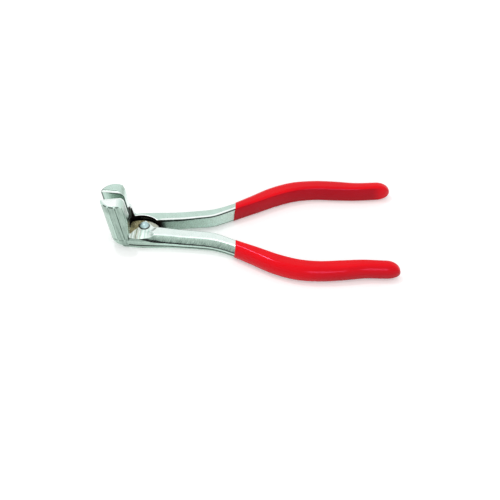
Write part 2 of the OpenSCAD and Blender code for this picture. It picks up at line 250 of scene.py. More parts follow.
def block(x0, x1, y0, y1, z0, z1):
    return prism([[x0, y0], [x1, y0], [x1, y1], [x0, y1]], z0, z1)


# The forging
def low_r(x):
    rise = (x - LOW_ROUND_FROM) / (LOW_ROUND_FULL - LOW_ROUND_FROM)
    fall = (LOW_SHARP_X - x) / (LOW_SHARP_X - LOW_ROUND_TO)
    return ARM_EDGE_R + (SHANK_LOW_R - ARM_EDGE_R) * max(0.0, min(1.0, rise, fall))


def steel_section(w, t, low, n=10):
    out, up = w / 2 - ARM_DRAFT - ARM_OUTER_R, t / 2 - ARM_OUTER_R
    return np.concatenate([
        [[w / 2, 0]],
        arc(out, up, ARM_OUTER_R, 12, 90, n),
        arc(ARM_EDGE_R - w / 2, t / 2 - ARM_EDGE_R, ARM_EDGE_R, 90, 180, n),
        arc(low - w / 2, low - t / 2, low, 180, 270, n),
        arc(out, -up, ARM_OUTER_R, 270, 348, n),
    ])


def placed(section, s):
    """The section's points, [out, up], set square to the course at row number s."""
    c, a = along(s)[0], heading(s)[0]
    return np.column_stack([c[0] - section[:, 0] * np.sin(a), c[1] + section[:, 0] * np.cos(a),
                            MID_Z + section[:, 1]])


def steel_bar():
    rings = []
    for s in np.linspace(0, STEEL_LAST, BAR_RINGS):
        c = along(s)[0]
        rings.append(placed(steel_section(c[2], min(c[3], HEAD_T), low_r(c[0])), s))
    return lofted(rings)


def back_turned(obj):
    """Turns a part of the jaw's back about the upright edge where it meets the flat."""
    return moved(obj, shift(JAW_BACK), turn(JAW_BACK_TURN, "Z"), shift(-JAW_BACK))


def behind_jaw(lo, hi):
    return moved(back_turned(block(-JAW_BACK, BIG, -BIG, BIG, lo, hi)), turn(-JAW_SPREAD, "Z"))


def jaw():
    body = cone(JAW_R, JAW_R, -BIG, 2 * BIG)
    combine(body, block(-BIG, BIG, JAW_GAP / 2, BIG, -2 * BIG, 3 * BIG), "INTERSECT")
    half = FRONT_BEVEL / np.sqrt(2)
    corner = moved(block(-half, half, -half, half, -2 * BIG, 3 * BIG), turn(45, "Z"),
                   shift(-JAW_R, JAW_GAP / 2))
    combine(body, corner, "DIFFERENCE")
    # A round-bottomed groove of the CAD groove's width and depth.
    r = (GROOVE_W**2 / 4 + GROOVE_DEPTH**2) / (2 * GROOVE_DEPTH)
    at = JAW_R - GROOVE_DEPTH + r
    for k in range(GROOVES):
        angle = np.radians(90 + GROOVE_TURN + (k - (GROOVES - 1) / 2) * GROOVE_PITCH)
        groove = cone(r, r, GROOVE_FLOOR, BIG, at * np.cos(angle), at * np.sin(angle), 32)
        combine(body, groove, "DIFFERENCE")
    moved(body, turn(-JAW_LEAN, "Y"), shift(JAW_AXIS_X))
    front = np.concatenate([
        [[TOE_X, 0], [0, 0], [0, JAW_H], [-BIG, JAW_H], [-BIG, JAW_TOE_R * (1 - np.sin(LEAN))]],
        arc(TOE_X, JAW_TOE_R, JAW_TOE_R, 180 + JAW_LEAN, 270, 24)[:-1],
    ])
    combine(body, moved(prism(front, -BIG, BIG), turn(90, "X")), "INTERSECT")
    back = np.concatenate([
        [[-BIG, -1], [-JAW_BACK, -1], [-JAW_BACK, JAW_BACK_H]],
        arc(BACK_ARC_X, BACK_ARC_Z, JAW_BACK_R, JAW_LEAN, 90, 40),
        [[-BIG, JAW_H]],
    ])
    combine(body, back_turned(moved(prism(back, -BIG, BIG), turn(90, "X"))), "INTERSECT")
    rim, foot = JAW_R - RIM_BEVEL, JAW_R - FOOT_BEVEL
    combine(body, cone(rim + BIG, rim, JAW_H - BIG, JAW_H, JAW_TIP_AXIS_X), "INTERSECT")
    combine(body, cone(foot, foot + BIG, 0, BIG, JAW_AXIS_X), "INTERSECT")
    edge = moved(block(-BIG, BIG, -BIG, BIG, -2 * BIG, 0), turn(45, "X"),
                 shift(0, JAW_GAP / 2, JAW_H - FLAT_BEVEL))
    combine(body, edge, "INTERSECT")
    return moved(body, turn(-JAW_SPREAD, "Z"))


def jaw_root():
    """The leaning root behind the jaw, before the recess or the scoop trims it."""
    top_x = JAW_ROOT_FOOT - JAW_ROOT_RISE * np.tan(LEAN)
    foot_x = JAW_ROOT_FOOT + JAW_ROOT_R
    behind = JAW_ROOT_RISE + (top_x + ROOT_DEPTH) * np.tan(np.radians(ROOT_TOP_SLOPE))
    outline = np.concatenate([
        [[-ROOT_DEPTH, -ROOT_SINK], [foot_x, -ROOT_SINK]],
        arc(foot_x, JAW_ROOT_R, JAW_ROOT_R, 270, 180, 16),
        [[top_x, JAW_ROOT_RISE], [-ROOT_DEPTH, behind]],
    ])
    web = prism(outline, 0, ROOT_OUT - ROOT_IN)
    return moved(web, turn(90, "X"), shift(-JAW_BACK, ROOT_OUT, HEAD_T), turn(-JAW_SPREAD, "Z"))


def rough_forging():
    return combine(combine(jaw(), jaw_root(), "UNION"), steel_bar(), "UNION")


def lug(lo, hi):
    plan = cone(LUG_R, LUG_R, lo, hi)
    limit = cone(LUG_ARC_R, LUG_ARC_R, lo - 1, hi + 1, -JOINT_ARC_X, LUG_ARC_R - LUG_REACH)
    return combine(plan, limit, "INTERSECT")


def recess(lo, hi):
    plan = cone(WALL_ARC_R, WALL_ARC_R, lo, hi, -JOINT_ARC_X, WALL_REACH - WALL_ARC_R)
    combine(plan, moved(block(0, BIG, -BIG, 0, lo, hi), turn(SQUEEZE, "Z")), "UNION")
    limit = cone(LUG_R + LAP_RIM_GAP, LUG_R + LAP_RIM_GAP, lo - 1, hi + 1)
    combine(limit, block(-BIG, 0, -BIG, BIG, lo - 1, hi + 1), "UNION")
    combine(limit, behind_jaw(lo - 2, hi + 2), "INTERSECT")
    return combine(plan, limit, "INTERSECT")


def far_forging():
    body = rough_forging()
    combine(body, recess(LOWER_LUG_TOP, BIG), "DIFFERENCE")
    combine(body, lug(0, LOWER_LUG_TOP), "UNION")
    combine(body, cone(RIVET_R, RIVET_R, -1, HEAD_T), "DIFFERENCE")
    sunk = RIVET_TAIL_R - RIVET_R
    return combine(body, cone(RIVET_TAIL_R + 1, RIVET_R, -1, sunk), "DIFFERENCE")


def scoop():
    edge_y = COURSE[1][1] + COURSE[1][2] / 2
    roll = moved(cone(SCOOP_R, SCOOP_R, -BIG, BIG, n=720), shift(0, -SCOOP_R),
                 turn(-90 - SCOOP_TILT, "X"), shift(-JAW_BACK / 2, edge_y, HEAD_T - SCOOP_DEPTH))
    return combine(roll, behind_jaw(0, BIG), "INTERSECT")


def near_forging():
    """The near arm, still on the far side: it is mirrored when it is finished."""
    body = rough_forging()
    combine(body, recess(LUG_UNDER - HEAD_T, LUG_UNDER), "DIFFERENCE")
    rise = HEAD_T - LUG_TOP + EPS
    combine(body, cone(SEAT_R, SEAT_R + rise * SEAT_RUN, LUG_TOP, LUG_TOP + rise), "DIFFERENCE")
    combine(body, lug(LUG_UNDER, LUG_TOP), "UNION")
    combine(body, scoop(), "DIFFERENCE")
    combine(body, cone(RIVET_R, SINK_R, LUG_TOP - SINK_DEPTH, LUG_TOP + EPS), "DIFFERENCE")
    return combine(body, cone(RIVET_R + RIVET_GAP, RIVET_R + RIVET_GAP, -1, HEAD_T + 1), "DIFFERENCE")


# Finishing a forging
VOXEL = 0.21
HIDDEN_FROM = GRIP_START + 1.5
# The share of its faces that the mesh loses where the grip hides it
HIDDEN_CUT = 0.96


def coords(obj):
    co = np.empty(len(obj.data.vertices) * 3)
    obj.data.vertices.foreach_get("co", co)
    return co.reshape(-1, 3)


def normals(obj):
    no = np.empty(len(obj.data.vertices) * 3)
    obj.data.vertex_normals.foreach_get("vector", no)
    return no.reshape(-1, 3)


def edges(obj):
    e = np.empty(len(obj.data.edges) * 2, int)
    obj.data.edges.foreach_get("vertices", e)
    return e.reshape(-1, 2)


def shade_smooth(obj):
    obj.data.polygons.foreach_set("use_smooth", np.ones(len(obj.data.polygons), bool))


def put_back(obj, points, near):
    """Gives the mesh its final points, in metres, those of the near arm mirrored to their side."""
    if near:
        points = points * [1, -1, 1]
        obj.data.flip_normals()
    obj.data.vertices.foreach_set("co", (points * MM).ravel())
    obj.data.update()
    shade_smooth(obj)
    return points


def store(obj, **fields):
    """Keeps a share from 0 to 1, or a vector, for each point, where the materials can read it."""
    for name, values in fields.items():
        if values.ndim == 1:
            kept = obj.data.attributes.new(name, "FLOAT", "POINT")
            kept.data.foreach_set("value", np.clip(values, 0, 1).astype(np.float32))
        else:
            kept = obj.data.attributes.new(name, "FLOAT_VECTOR", "POINT")
            kept.data.foreach_set("vector", values.astype(np.float32).ravel())


def averaged(values, e, times):
    """Values spread over the neighbours along the mesh's edges."""
    count = np.bincount(e.ravel(), minlength=len(values)) + 1
    for _ in range(times):
        total = values + np.bincount(e[:, 0], values[e[:, 1]], len(values)) \
            + np.bincount(e[:, 1], values[e[:, 0]], len(values))
        values = total / count
    return values


def step(lo, hi, x):
    """Smoothly from 0 at lo to 1 at hi."""
    t = np.clip((np.asarray(x, float) - lo) / (hi - lo), 0, 1)
    return t * t * (3 - 2 * t)


def band(lo, hi, soft, x):
    """1 between lo and hi, and 0 beyond them, with soft ends."""
    return step(lo - soft, lo + soft, x) * (1 - step(hi - soft, hi + soft, x))


def wobble(points, scale, seed):
    """Smooth noise from -1 to 1, about scale millimetres from bump to bump."""
    offset = Vector((seed * 17.3, seed * 5.1, seed * 9.7))
    return np.array([noise.noise(Vector(p) / scale + offset) for p in points])


def bar_frame(p):
    """Where points lie on the bar: arc length, distance out from its middle, half its width, half
    its thickness, and the way out."""
    s = row_at(p[:, 0])
    for _ in range(4):
        c, a = along(s), heading(s)
        ahead = (p[:, 0] - c[:, 0]) * np.cos(a) + (p[:, 1] - c[:, 1]) * np.sin(a)
        arc_now = np.interp(s, TABLE_S, TABLE_ARC) + ahead
        s = np.interp(arc_now, TABLE_ARC, TABLE_S)
    c, a = along(s), heading(s)
    side = np.column_stack([-np.sin(a), np.cos(a)])
    out = (p[:, 0] - c[:, 0]) * side[:, 0] + (p[:, 1] - c[:, 1]) * side[:, 1]
    return np.interp(s, TABLE_S, TABLE_ARC), out, c[:, 2] / 2, np.minimum(c[:, 3], HEAD_T) / 2, side


def skinned(body):
    """Eases the forging's edges, and thins the mesh where the grip hides it."""
    remesh = body.modifiers.new("skin", "REMESH")
    remesh.mode = "VOXEL"
    remesh.voxel_size = VOXEL
    ease = body.modifiers.new("ease", "SMOOTH")
    ease.factor = 0.5
    ease.iterations = 7
    settle(body)
    hidden = body.vertex_groups.new(name="hidden")
    x = coords(body)[:, 0]
    hidden.add(np.nonzero(x > HIDDEN_FROM)[0].tolist(), 1.0, "REPLACE")
    thin = body.modifiers.new("thin", "DECIMATE")
    thin.ratio = 1 - HIDDEN_CUT * float(np.mean(x > HIDDEN_FROM))
    thin.vertex_group = "hidden"
    settle(body)
    body.vertex_groups.clear()


def bends(p, n, e):
    """How clearly each point lies on a ridge, and how clearly in a hollow."""
    d = p[e[:, 1]] - p[e[:, 0]]
    l2 = np.maximum((d * d).sum(1), 1e-9)
    bend = np.zeros(len(p))
    weight = np.bincount(e.ravel(), minlength=len(p))
    bend += np.bincount(e[:, 0], (n[e[:, 0]] * d).sum(1) / l2, len(p))
    bend += np.bincount(e[:, 1], -(n[e[:, 1]] * d).sum(1) / l2, len(p))
    bend = averaged(bend / np.maximum(weight, 1), e, 2)
    return step(0.15, 0.7, -bend), step(0.1, 0.5, bend)


def jaw_turned(v):
    """The x and y of points or normals in the jaw's own frame, which its spread turns."""
    a = np.radians(JAW_SPREAD)
    return v[:, 0] * np.cos(a) - v[:, 1] * np.sin(a), v[:, 0] * np.sin(a) + v[:, 1] * np.cos(a)


class Skin:
    """What is known of each point of a forging's skin: where it lies, and how it looks.
    The functions below it add to it or paint on it; there it is called f, for forging."""

    def __init__(self, body, near):
        self.near = near
        p, n = coords(body), normals(body)
        self.p, self.n, self.n_up = p, n, n[:, 2]
        self.along_x, self.across, self.z = p[:, 0], p[:, 1], p[:, 2]
        self.radius = np.hypot(self.along_x, self.across)
        self.convex, self.hollow = bends(p, n, edges(body))
        self.slow, self.fast = wobble(p, 7.0, 1 + near), wobble(p, 1.6, 3 + near)
        # Lightness of the steel, before its streaks, most of it painted light and shade: 0 black, 0.5
        # pale grey-green, 1 bright white
        self.tone = np.full(len(p), 0.5)

    def paint(self, value, mask):
        """Brings the lightness to the value where the mask is 1, and part of the way below 1."""
        self.tone = self.tone + (value - self.tone) * np.clip(mask, 0, 1)


def find_on_arm(f):
    """Places along, across and up the bar, and how far each normal points outwards."""
    f.arc_at, f.out, half_w, f.half_t, side = bar_frame(f.p)
    f.up = f.z - MID_Z
    f.n_out = f.n[:, 0] * side[:, 0] + f.n[:, 1] * side[:, 1]
    f.in_from_edge = f.out + half_w


def find_on_jaw(f):
    """Depth below the jaw's back, in the frame that is turned with it, and places round it."""
    f.jx, f.jy = jaw_turned(f.p)
    f.njx, f.njy = jaw_turned(f.n)
    lie = np.radians(JAW_BACK_TURN)
    f.bx = (f.jx + JAW_BACK) * np.cos(lie) + f.jy * np.sin(lie) - JAW_BACK
    upright = -JAW_BACK - f.bx
    leaning = upright * np.cos(LEAN) - (f.z - JAW_BACK_H) * np.sin(LEAN)
    round_top = JAW_BACK_R - np.hypot(f.bx - BACK_ARC_X, f.z - BACK_ARC_Z)
    f.under_back = np.minimum(upright, leaning)
    at_round = (f.bx > BACK_ARC_X) & (f.z > BACK_ARC_Z)
    f.under_back = np.where(at_round, np.minimum(f.under_back, round_top), f.under_back)
    f.jaw_part = step(-0.9, -0.3, f.under_back) * step(HEAD_T - 1, HEAD_T + 1, f.z)
    f.jaw_part = np.maximum(f.jaw_part, 1 - step(-JAW_BACK - 1.2, -JAW_BACK - 0.2, f.bx))
    f.off_jaw = 1 - f.jaw_part
    # Round the jaw's axis, where rib is a whole number at each groove
    f.lean_x = (f.jx - JAW_AXIS_X) * np.cos(LEAN) + f.z * np.sin(LEAN)
    f.lean_z = f.z * np.cos(LEAN) - (f.jx - JAW_AXIS_X) * np.sin(LEAN)
    round_at = np.degrees(np.arctan2(f.jy, f.lean_x))
    f.rib = (round_at - 90 - GROOVE_TURN) / GROOVE_PITCH + (GROOVES - 1) / 2
    f.in_rib = np.abs(np.sin(np.pi * f.rib))


def find_sides(f):
    """Masks: their places are in millimetres, and their normals run from -1 to 1."""
    f.top = step(0.4, 0.8, f.n_up) * f.off_jaw
    f.inner = step(0.45, 0.75, -f.n_out) * f.off_jaw * step(7, 9, f.along_x)
    f.outer = step(0.4, 0.85, f.n_out) * f.off_jaw
    # The belt-ground flank ends at a ragged line, which climbs from the parting line to the scoop.
    f.ground_to = np.interp(f.along_x, FLANK_LINE_X, FLANK_LINE_UP)
    f.over = f.up - f.ground_to - 0.12 * f.fast
    above_line = step(-0.12, 0.12, f.over)
    f.outer_low = f.outer * (1 - above_line)
    f.ground = f.outer * above_line * step(-4, 1, f.along_x)
    # The recess wall follows an arc; crest is how far inside that arc a point lies.
    f.crest = WALL_ARC_R - np.hypot(f.along_x + JOINT_ARC_X, f.across - WALL_REACH + WALL_ARC_R)
    in_joint = 1 - step(9.3, 9.9, f.radius)
    f.wall = in_joint * (1 - step(0.5, 0.9, np.abs(f.n_up))) * f.off_jaw
    if f.near:
        # The sloping rim of the rivet's seat faces inwards too, but it is polished with the top and gets
        # the top's tone rather than the walls' painted shade.
        above_lug = step(LUG_TOP - 0.3, LUG_TOP + 0.1, f.z) * (1 - step(10.5, 12, f.along_x))
        f.wall, f.inner = f.wall * (1 - above_lug), f.inner * (1 - above_lug)
    else:
        on_wall = (1 - step(0.3, 0.6, np.abs(f.crest))) * (1 - step(0.5, 0.8, f.n_up)) * f.off_jaw
        ledge = step(-0.3, 0.3, LOWER_LUG_TOP + 0.4 - f.z) * step(0.5, 0.9, f.n_up) * in_joint
        f.wall = f.wall * (1 - step(HEAD_T - 0.1, HEAD_T + 0.3, f.z))
        f.wall = np.maximum(f.wall, ledge * f.off_jaw)
        f.wall = np.maximum(f.wall, on_wall * (1 - step(6.5, 7.5, f.along_x)))
    # The walls of the joint are painted near-black, as shade.
    f.scale = np.clip(f.wall * 1.2, 0, 1)


def paint_arm(f):
    """The polished tops, the speckled inner sides, and the flanks with their dark line, in painted light
    and shade
    """
    # The tops: the near arm's painted near-white as a bright reflection, the far arm's a darker grey;
    # one steel in a lit and a shaded copy
    f.paint(0.84 + 0.06 * f.slow if f.near else 0.58, f.top)
    if f.near:
        # A dark line of painted shade along the inner top edge
        inner_edge = step(0.2, 0.4, f.n_up) * f.off_jaw * (1 - step(0.5, 0.75, f.in_from_edge))
        f.paint(0.25, inner_edge * step(10, 18, f.along_x))
    else:
        # Painted highlights: a bright line along the inner top edge, and another along the top of the
        # recess wall
        at_edge = 1 - step(1.2, 1.6, f.in_from_edge + 0.2 * f.slow)
        f.paint(0.99, f.top * at_edge * step(8, 10, f.along_x))
        f.paint(1.0, f.top * (1 - step(0.5, 0.85, np.abs(f.crest))) * band(-7.5, 8.5, 0.6, f.along_x))
        pit = 1 - step(0.25, 0.6, np.hypot(f.along_x - PIT_X, f.across - PIT_Y))
        f.paint(0.05, f.off_jaw * step(0.1, 0.4, f.n_up) * pit)
        # The root is polished like the jaw's back and painted near-white as its reflection, all but its
        # wall, which keeps the painted black shade.
        f.paint(0.95, f.off_jaw * step(HEAD_T + 0.5, HEAD_T + 1.2, f.z))
    # The inner sides: speckled, with painted shade that is darkest at the joint, and dark lines of
    # painted shade along both edges.
    f.paint(0.49 + 0.12 * step(14, 50, f.along_x), f.inner)
    edge_line = 1.5 - 0.6 * step(12, 34, f.along_x)
    f.paint(0.05, f.inner * step(-edge_line - 0.15, 0.15 - edge_line, f.up - f.half_t))
    f.paint(0.10, f.inner * (1 - step(-f.half_t + 0.5, -f.half_t + 1.3, f.up)))
    f.paint(0.03, f.inner * (1 - step(7.5, 13, f.along_x + 1.5 * f.slow)))
    # The ground flank is painted darker than the top, as a dark reflection, darkest just above its lower
    # line.
    depth = np.clip(1 - f.over / (0.8 * f.half_t - f.ground_to), 0, 1)
    near_joint = 1 - step(2, 14, f.along_x)
    f.paint(0.43 - 0.15 * depth - 0.05 * near_joint, f.ground)
    # Below the line: a lighter strip painted as the floor's reflection, and a dark band of painted shade
    # where the side turns under
    f.paint(0.54 - 0.07 * near_joint, f.outer_low)
    f.paint(0.63, f.outer_low * band(-1.7, 0.2, 0.3, f.up) * (1 - near_joint))
    f.paint(0.15 - 0.12 * near_joint, f.outer_low * band(-3.0, -2.0, 0.25, f.up))
    # A dark line is painted along the flank's lower line.
    line_top = 0.8 + 0.7 * band(0.5, 9, 2, f.along_x)
    line = f.outer * step(-0.3, 0.0, f.over) * (1 - step(line_top - 0.2, line_top + 0.3, f.over))
    f.paint(0.02 + 0.10 * step(15, 45, f.along_x), line * step(-9, -7, f.along_x))
    if f.near:
        # Under the scoop the flank starts with a dark edge of painted shade.
        under_scoop = f.off_jaw * band(0.4, 0.95, 0.1, f.n_out) * band(-10, 1, 1, f.along_x)
        f.paint(0.06, under_scoop * step(5.6, 6.2, f.z))


def paint_jaw(f):
    """The ribbed round face, the flat, the tip, the bevels and the back, in painted light and shade"""
    under_tip = JAW_H - f.z
    past_bevel = f.jy - JAW_GAP / 2 - FLAT_BEVEL
    round_face = f.jaw_part * step(0.2, 0.5, f.njy) * (1 - step(0.4, 0.7, f.n_up))
    groove_end = 1 - step(0.35, 0.65, np.abs(f.lean_z - GROOVE_FLOOR + 0.1))
    flat = step(0.6, 0.9, -f.njy) * f.jaw_part
    flat_bevel = step(0.35, 0.6, f.n_up) * step(0.35, 0.6, -f.njy) * f.jaw_part
    front_edge = f.jaw_part * step(0.3, 0.6, -f.njy) * step(0.3, 0.6, -f.njx) * (1 - flat_bevel)
    tip = step(0.93, 0.985, f.n_up) * f.jaw_part * step(JAW_H - 0.6, JAW_H - 0.35, f.z)
    f.on_back = (1 - step(0.2, 0.5, f.under_back)) * f.jaw_part * (1 - flat)
    f.on_back = f.on_back * step(-0.5, 0.0, f.bx - BACK_ARC_X - 0.4)
    rim = step(JAW_H - 1.5, JAW_H - 1.15, f.z) * f.jaw_part * (1 - tip) * (1 - flat_bevel)
    rim = rim * (1 - f.on_back) * (1 - flat)
    # The round face: lighter and darker strips across the ribs and a dark band low down, painted as its
    # shading
    f.paint(0.40, round_face)
    f.paint(0.50, round_face * step(-0.6, 0.2, f.rib - 2) * (1 - step(24, 28, f.z)))
    f.paint(0.50, round_face * (1 - step(-0.1, 0.3, f.rib)))
    f.paint(0.33, round_face * groove_end * step(0.3, 0.6, f.in_rib))
    f.paint(0.14, round_face * band(1.5, 2.4, 0.25, f.z))
    if f.near:
        # Painted light on the near jaw: a white tip with a grey line, a bright rim with crescents of
        # painted shadow under it between the grooves, the back in painted shading, and a painted
        # highlight along its edge by the flat
        f.paint(1.0, tip)
        f.paint(0.86, tip * (1 - step(0.12, 0.3, np.abs(past_bevel - 0.9 - 0.3 * f.slow))))
        f.paint(0.62, rim)
        f.paint(0.80, rim * (1 - step(0.35, 0.6, under_tip)))
        between_grooves = rim * band(-0.25, 2.75, 0.15, f.rib) * step(0.2, 0.6, f.in_rib)
        f.paint(0.15, between_grooves * band(0.6, 1.25, 0.1, under_tip))
        f.paint(np.interp(under_tip, *NEAR_BACK_TONES), f.on_back)
        f.paint(0.92, f.on_back * (1 - step(1.2, 1.7, f.jy)))
    else:
        # Painted light on the far jaw: a grey tip with a dark line beside its bevel, a dark rim that is
        # darkest at the front, the back in painted shading, and the flat painted darker towards its
        # back, with lines of painted shade under its bevel, along its back edge and at its front
        f.paint(0.60, tip)
        at_tip = f.jaw_part * step(JAW_H - 0.5, JAW_H - 0.25, f.z)
        f.paint(0.22, at_tip * band(0.05, 0.5, 0.12, past_bevel))
        f.paint(0.30, rim)
        f.paint(0.12, rim * (1 - step(-21.5, -19.5, f.jx)))
        f.paint(np.interp(under_tip, *FAR_BACK_TONES), f.on_back)
        f.paint(0.56 - 0.11 * step(-20, -15, f.jx) - 0.05 * step(-15, -11, f.jx), flat)
        under_bevel = flat * (1 - step(FLAT_BEVEL + 0.35, FLAT_BEVEL + 0.9, under_tip))
        f.paint(0.16, under_bevel * step(-22, -17, f.jx))
        f.paint(0.02, flat * (1 - step(0.3, 0.65, f.under_back)))
        f.paint(0.25, flat * (1 - step(1.1 - JAW_R, 1.5 - JAW_R, f.lean_x)))
    # The flat's bevel is painted white as a highlight, and the front edge dark as shade.
    f.paint(1.0, flat_bevel)
    f.paint(0.12, front_edge)


def finish_near_joint(f):
    """The lug's painted golden-brown shade, the streaks and painted sheen down the scoop, and the
    painted shadow round the rivet's head
    """
    # Inside two slanting lines the lug is painted golden-brown, as shade.
    facing_up = step(0.5, 0.85, f.n_up) * step(6.5, 7.0, f.z) * f.off_jaw
    right_line = np.minimum(1.18 * (f.along_x - 3.02) - 1.23, 1.6)
    left_line = 2.53 - 1.01 * (f.along_x + 3.86)
    kept = np.where(f.along_x > 0, 1 - step(-0.5, 0.5, f.across - right_line - 0.3 * f.slow),
                    1 - step(-0.3, 0.3, f.across - left_line - 0.4 * f.slow))
    kept = kept * facing_up * (1 - step(LUG_R + 1.9, LUG_R + 2.6, f.radius))
    f.patina = kept * np.where(f.along_x > 2.5, 0.62, 1.0)
    # Brown streaks, and fine grey ones, run from the rivet down the brushed scoop, which is painted
    # near-white as a sheen.
    fan = facing_up * (1 - kept) * step(1.5, 3.0, f.across)
    run = f.along_x + 0.13 * (f.across - 3)
    f.brushed = fan * (1 - step(2.5, 4.5, f.along_x))
    f.paint(0.90, f.brushed)
    for at, half, share in SCOOP_STREAKS:
        streak = 1 - step(half * 0.5, half * 1.5, np.abs(run - at + 0.35 * f.fast))
        f.patina = np.maximum(f.patina, share * fan * streak)
    fine = wobble(np.column_stack([run, 0.1 * f.across, 0 * f.z]), 0.9, 21)
    f.paint(0.62, f.brushed * step(0.0, 0.5, fine))
    # The hollow on the lower left of the rivet's head is painted black, as the rivet's shadow.
    lower_left = step(-0.4, 0.4, (f.across - 0.7 * f.along_x) / np.maximum(f.radius, 0.1) - 0.1)
    in_hollow = 1 - step(SINK_R + 0.05, SINK_R + 0.4, f.radius)
    in_hollow = in_hollow * step(LUG_TOP - 1.2, LUG_TOP - 0.9, f.z)
    f.scale = np.maximum(f.scale, in_hollow * lower_left)


def finish_far_joint(f):
    """The painted black shade behind the jaw, and the painted golden highlights on the recess wall"""
    f.brushed = np.zeros(len(f.p))
    # The painted black shade climbs the jaw's back towards its flat.
    reach = SCALE_TOP - SCALE_FALL * np.maximum(f.jy - JAW_GAP / 2, 0)
    low_back = f.on_back * (1 - step(5.4, 6.0, f.jy))
    low_back = low_back * (1 - step(-0.6, 0.4, f.z - reach + 0.4 * f.slow))
    # The corner behind the jaw is painted black too, as shade.
    corner = (1 - step(-LUG_R + 0.4, -LUG_R + 1.4, f.along_x)) * (1 - step(5.2, 6.2, f.across))
    f.scale = np.maximum(np.maximum(f.scale, low_back), corner * f.off_jaw)
    # Two golden lines are painted along the recess wall as highlights.
    height = f.z + 0.3 * f.slow
    temper = band(8.4, 8.95, 0.15, height) * band(-2.0, 5.5, 1.0, f.along_x)
    second = 0.7 * band(7.1, 7.5, 0.15, height) * band(1.5, 5.0, 0.8, f.along_x)
    temper = np.maximum(temper, second)
    f.scale = f.scale * (1 - 0.95 * temper)
    f.patina = temper * f.wall
    f.paint(0.7, temper)


def forged(body, near):
    """Gives the forging its skin and grinding waves, and stores where each finish and each painted light
    and shade lies.
    """
    skinned(body)
    f = Skin(body, near)
    find_on_arm(f)
    find_on_jaw(f)
    find_sides(f)
    paint_arm(f)
    paint_jaw(f)
    if near:
        finish_near_joint(f)
    else:
        finish_far_joint(f)
    # The inner sides are painted black where they come out of the joint, as shade between the arms.
    black = np.maximum(f.scale, f.inner * (1 - step(8, 12, f.along_x + 1.5 * f.slow)))

    # Hand grinding leaves slow waves: weak on level faces, none low down, at the joint or in the grip.
    lift = np.minimum(0.03 * f.slow + 0.008 * f.fast, 0.02)
    keep_flat = step(0.3, 1.2, f.z) * (1 - step(0.9, 0.99, np.abs(f.n_up)) * 0.7)
    visible = 1 - step(HIDDEN_FROM - 2, HIDDEN_FROM - 1, f.along_x)
    off_joint = step(LUG_R - 0.3, LUG_R + 1.2, f.radius)
    p = f.p + f.n * (lift * keep_flat * visible * off_joint)[:, None]
    p[:, 2] = np.clip(p[:, 2], 0.0, JAW_H - EPS)
    p = put_back(body, p, near)

    # Places for the noise that makes streaks, squeezed along the streaks of the arm, jaw and lug
    grain_arm = np.column_stack([f.arc_at - 0.45 * f.up, 0.10 * f.out, 0.10 * f.up])
    grain_jaw = np.column_stack([f.lean_x, f.jy, 0.07 * f.lean_z])
    grain_lug = np.column_stack([p[:, 0] + 0.55 * np.abs(p[:, 1]), 0.22 * p[:, 1], f.z])
    store(body, tone=f.tone, ground=f.ground, black=black, patina=f.patina, jaw=f.jaw_part,
          convex=f.convex, hollow=f.hollow, rough=f.inner, brushed=f.brushed,
          grain_arm=grain_arm, grain_jaw=grain_jaw, grain_lug=grain_lug)
    return body


# Grips
def grip_section(w, t, inset=0.0, n=10):
    outer, inner = w / 2 - GRIP_CROWN - GRIP_OUTER_R, GRIP_CROWN + GRIP_INNER_R - w / 2
    upper = np.concatenate([
        [[w / 2 - inset, 0]],
        arc(outer, t / 2 - GRIP_OUTER_R, GRIP_OUTER_R - inset, 10, 90, n),
        arc(inner, t / 2 - GRIP_INNER_R, GRIP_INNER_R - inset, 90, 170, n),
        [[inset - w / 2, 0]],
    ])
    lower = upper[::-1][1:-1] * [1, -1]
    return np.concatenate([upper, lower])


